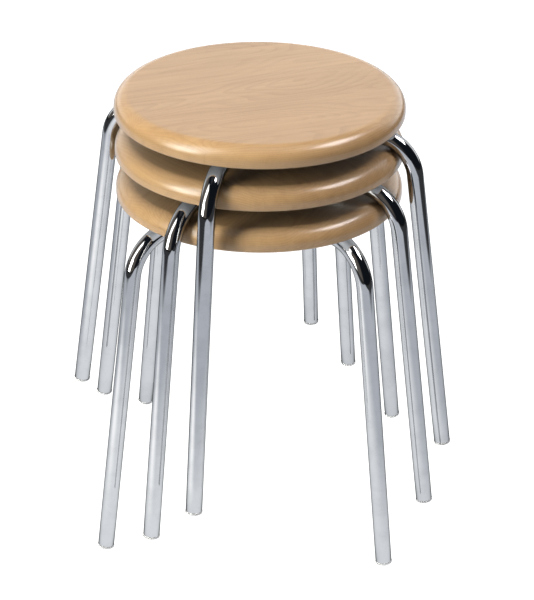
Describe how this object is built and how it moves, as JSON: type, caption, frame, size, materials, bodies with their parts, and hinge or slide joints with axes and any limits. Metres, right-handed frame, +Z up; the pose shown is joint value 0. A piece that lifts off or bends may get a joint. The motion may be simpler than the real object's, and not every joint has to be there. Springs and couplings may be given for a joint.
{
  "type": "stacking stool",
  "caption": "Nested stack of round wooden stools on splayed, bent chromed-tube legs that lift off one by one.",
  "frame": {"origin": "on the floor, on the axis that the three nested seats share", "axes": "+Z up along the stack's axis; -Y is the front, the side that the picture shows"},
  "size_m": [0.4922, 0.4922, 0.5551],
  "materials": {
    "seat_wood": "satin clear lacquer on beech",
    "leg_chrome": "bright chrome plating on steel tube",
    "plate_chrome": "chrome plating on sheet steel",
    "weld_chrome": "chrome plating over a rippled weld",
    "screw_steel": "bright zinc plating",
    "glide_plastic": "translucent white polyethylene"
  },
  "bodies": {
    "bottom_stool": {"bottom_seat": "seat_wood", "bottom_mounting_plate": "plate_chrome", "bottom_seat_screws": "screw_steel", "bottom_weld_beads": "weld_chrome", "bottom_leg_front": "leg_chrome", "bottom_leg_right": "leg_chrome", "bottom_leg_back": "leg_chrome", "bottom_leg_left": "leg_chrome", "bottom_glide_front": "glide_plastic", "bottom_glide_right": "glide_plastic", "bottom_glide_back": "glide_plastic", "bottom_glide_left": "glide_plastic"},
    "middle_stool": {"middle_seat": "seat_wood", "middle_mounting_plate": "plate_chrome", "middle_seat_screws": "screw_steel", "middle_weld_beads": "weld_chrome", "middle_leg_front": "leg_chrome", "middle_leg_right": "leg_chrome", "middle_leg_back": "leg_chrome", "middle_leg_left": "leg_chrome", "middle_glide_front": "glide_plastic", "middle_glide_right": "glide_plastic", "middle_glide_back": "glide_plastic", "middle_glide_left": "glide_plastic"},
    "top_stool": {"top_seat": "seat_wood", "top_mounting_plate": "plate_chrome", "top_seat_screws": "screw_steel", "top_weld_beads": "weld_chrome", "top_leg_front": "leg_chrome", "top_leg_right": "leg_chrome", "top_leg_back": "leg_chrome", "top_leg_left": "leg_chrome", "top_glide_front": "glide_plastic", "top_glide_right": "glide_plastic", "top_glide_back": "glide_plastic", "top_glide_left": "glide_plastic"}
  },
  "joints": [
    {"name": "middle_lift", "type": "slide", "parent": "bottom_stool", "child": "middle_stool", "axis": [0, 0, 1], "range_m": [0, 0.42]},
    {"name": "top_lift", "type": "slide", "parent": "middle_stool", "child": "top_stool", "axis": [0, 0, 1], "range_m": [0, 0.42]}
  ]
}
